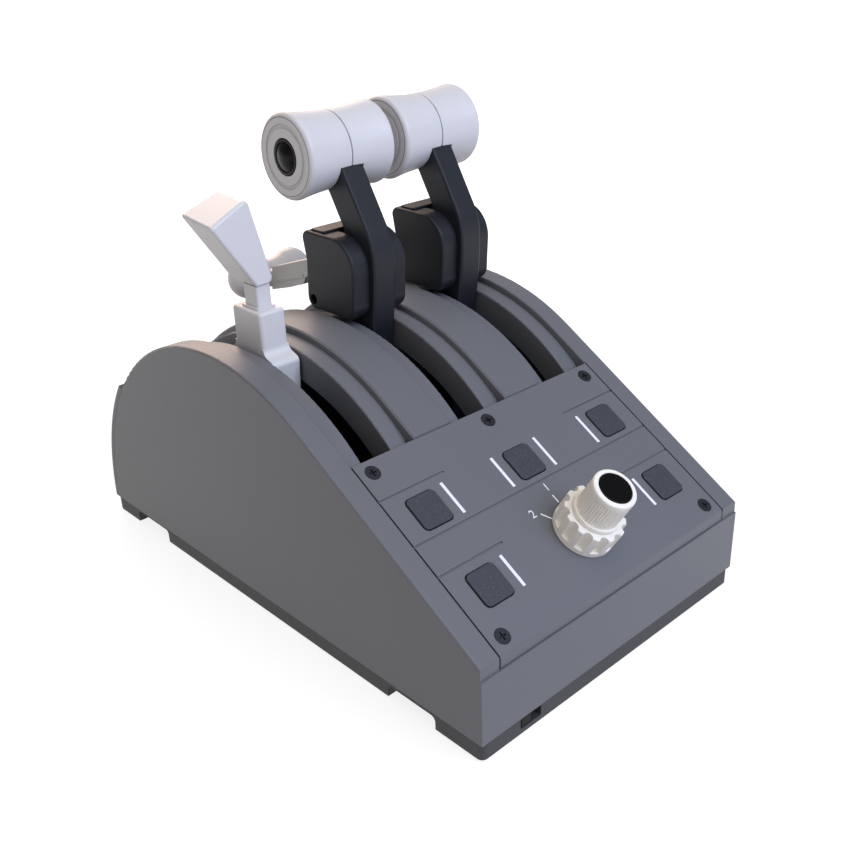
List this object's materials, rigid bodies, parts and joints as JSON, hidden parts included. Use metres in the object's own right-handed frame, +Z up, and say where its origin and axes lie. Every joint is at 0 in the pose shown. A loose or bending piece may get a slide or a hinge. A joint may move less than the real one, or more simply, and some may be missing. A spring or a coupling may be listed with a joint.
{
  "type": "throttle quadrant",
  "caption": "Desk throttle quadrant: wedge housing with a round hump, thrust levers with reversers, a speed brake lever and a sloping panel with keys and a double knob.",
  "frame": {"origin": "on the desk under the middle of the base, at the centre of the four threaded mounting holes", "axes": "+X to the user's right, +Y away from the user, +Z up"},
  "size_m": [0.18, 0.3014, 0.2307],
  "materials": {
    "grey_abs": "fine grain satin",
    "dark_abs": "matt",
    "rubber": "matt",
    "black_screw": "black oxide",
    "circuit_board": "solder mask",
    "component_black": "matt",
    "socket_steel": "plated",
    "steel": "ground",
    "acetal": "satin",
    "key_plastic": "fine grain matt",
    "ivory_abs": "satin",
    "black_gloss": "semi-gloss",
    "lever_black": "satin",
    "magnet": "nickel plated",
    "white_abs": "satin"
  },
  "bodies": {
    "base": {"housing": "grey_abs", "rear_cover": "grey_abs", "control_panel": "grey_abs", "slot_trim_left": "grey_abs", "slot_trim_middle": "grey_abs", "slot_trim_right": "grey_abs", "base_tray": "dark_abs", "rubber_feet": "rubber", "panel_screws": "black_screw", "panel_board": "circuit_board", "main_board": "circuit_board", "sensor_boards": "circuit_board", "panel_switches": "component_black", "encoder": "component_black", "mode_switch": "component_black", "usb_socket": "socket_steel", "pivot_shaft": "steel", "bracket_left": "dark_abs", "bracket_right": "dark_abs", "hub_spacers": "acetal"},
    "key_1": {"panel_key_1": "key_plastic"},
    "key_2": {"panel_key_2": "key_plastic"},
    "key_3": {"panel_key_3": "key_plastic"},
    "key_4": {"panel_key_4": "key_plastic"},
    "key_5": {"panel_key_5": "key_plastic"},
    "selector_ring": {"selector_ring": "ivory_abs"},
    "dial": {"dial_knob": "ivory_abs"},
    "dial_cap": {"dial_cap": "black_gloss"},
    "mode_slider": {"mode_slider": "black_gloss"},
    "throttle_1": {"throttle_1_arm": "lever_black", "throttle_1_pod_left": "lever_black", "throttle_1_pod_right": "lever_black", "throttle_1_magnet": "magnet", "throttle_1_grip_left": "white_abs", "throttle_1_grip_right": "white_abs", "reverser_1_pin": "steel"},
    "latch_1": {"throttle_1_latch": "lever_black"},
    "thumb_1": {"throttle_1_thumb_button": "black_gloss"},
    "reverser_1": {"reverser_1_tongue": "white_abs", "reverser_1_bar": "white_abs"},
    "throttle_2": {"throttle_2_arm": "lever_black", "throttle_2_pod_left": "lever_black", "throttle_2_pod_right": "lever_black", "throttle_2_magnet": "magnet", "throttle_2_grip_left": "white_abs", "throttle_2_grip_right": "white_abs", "reverser_2_pin": "steel"},
    "latch_2": {"throttle_2_latch": "lever_black"},
    "thumb_2": {"throttle_2_thumb_button": "black_gloss"},
    "reverser_2": {"reverser_2_tongue": "white_abs", "reverser_2_bar": "white_abs"},
    "brake": {"brake_arm": "dark_abs", "brake_magnet": "magnet", "brake_stem": "white_abs", "brake_head": "white_abs"}
  },
  "joints": [
    {"name": "throttle_1_travel", "type": "hinge", "parent": "base", "child": "throttle_1", "pos_m": [0, 0.0237, 0.016], "axis": [1, 0, 0], "range_deg": [-35, 30]},
    {"name": "reverser_1_lift", "type": "hinge", "parent": "throttle_1", "child": "reverser_1", "pos_m": [0, 0.0366, 0.1372], "axis": [1, 0, 0], "range_deg": [0, 45]},
    {"name": "latch_1_press", "type": "slide", "parent": "throttle_1", "child": "latch_1", "axis": [0, 0, -1], "range_m": [0, 0.0008], "stiffness_N_per_m": 500, "springref_m": -0.0004},
    {"name": "thumb_1_press", "type": "slide", "parent": "throttle_1", "child": "thumb_1", "axis": [1, 0, 0], "range_m": [0, 0.0013], "stiffness_N_per_m": 500, "springref_m": -0.0004},
    {"name": "throttle_2_travel", "type": "hinge", "parent": "base", "child": "throttle_2", "pos_m": [0.06, 0.0237, 0.016], "axis": [1, 0, 0], "range_deg": [-35, 30]},
    {"name": "reverser_2_lift", "type": "hinge", "parent": "throttle_2", "child": "reverser_2", "pos_m": [0.06, 0.0366, 0.1372], "axis": [1, 0, 0], "range_deg": [0, 45]},
    {"name": "latch_2_press", "type": "slide", "parent": "throttle_2", "child": "latch_2", "axis": [0, 0, -1], "range_m": [0, 0.0008], "stiffness_N_per_m": 500, "springref_m": -0.0004},
    {"name": "thumb_2_press", "type": "slide", "parent": "throttle_2", "child": "thumb_2", "axis": [-1, 0, 0], "range_m": [0, 0.0013], "stiffness_N_per_m": 500, "springref_m": -0.0004},
    {"name": "brake_travel", "type": "hinge", "parent": "base", "child": "brake", "pos_m": [-0.06, 0.0237, 0.016], "axis": [1, 0, 0], "range_deg": [-40, 30]},
    {"name": "key_1_press", "type": "slide", "parent": "base", "child": "key_1", "axis": [0, 0.5234, -0.8521], "range_m": [0, 0.0008], "stiffness_N_per_m": 600, "springref_m": -0.0004},
    {"name": "key_2_press", "type": "slide", "parent": "base", "child": "key_2", "axis": [0, 0.5234, -0.8521], "range_m": [0, 0.0008], "stiffness_N_per_m": 600, "springref_m": -0.0004},
    {"name": "key_3_press", "type": "slide", "parent": "base", "child": "key_3", "axis": [0, 0.5234, -0.8521], "range_m": [0, 0.0008], "stiffness_N_per_m": 600, "springref_m": -0.0004},
    {"name": "key_4_press", "type": "slide", "parent": "base", "child": "key_4", "axis": [0, 0.5234, -0.8521], "range_m": [0, 0.0008], "stiffness_N_per_m": 600, "springref_m": -0.0004},
    {"name": "key_5_press", "type": "slide", "parent": "base", "child": "key_5", "axis": [0, 0.5234, -0.8521], "range_m": [0, 0.0008], "stiffness_N_per_m": 600, "springref_m": -0.0004},
    {"name": "selector_turn", "type": "hinge", "parent": "base", "child": "selector_ring", "pos_m": [0, -0.12628, 0.0615], "axis": [0, -0.5234, 0.8521], "range_deg": [0, 42]},
    {"name": "dial_turn", "type": "hinge", "parent": "base", "child": "dial", "pos_m": [0, -0.12628, 0.0615], "axis": [0, -0.5234, 0.8521], "continuous": true},
    {"name": "dial_press", "type": "slide", "parent": "dial", "child": "dial_cap", "axis": [0, 0.5234, -0.8521], "range_m": [0, 0.0008], "stiffness_N_per_m": 600, "springref_m": -0.0004},
    {"name": "mode_slide", "type": "slide", "parent": "base", "child": "mode_slider", "axis": [1, 0, 0], "range_m": [0, 0.0052]}
  ]
}
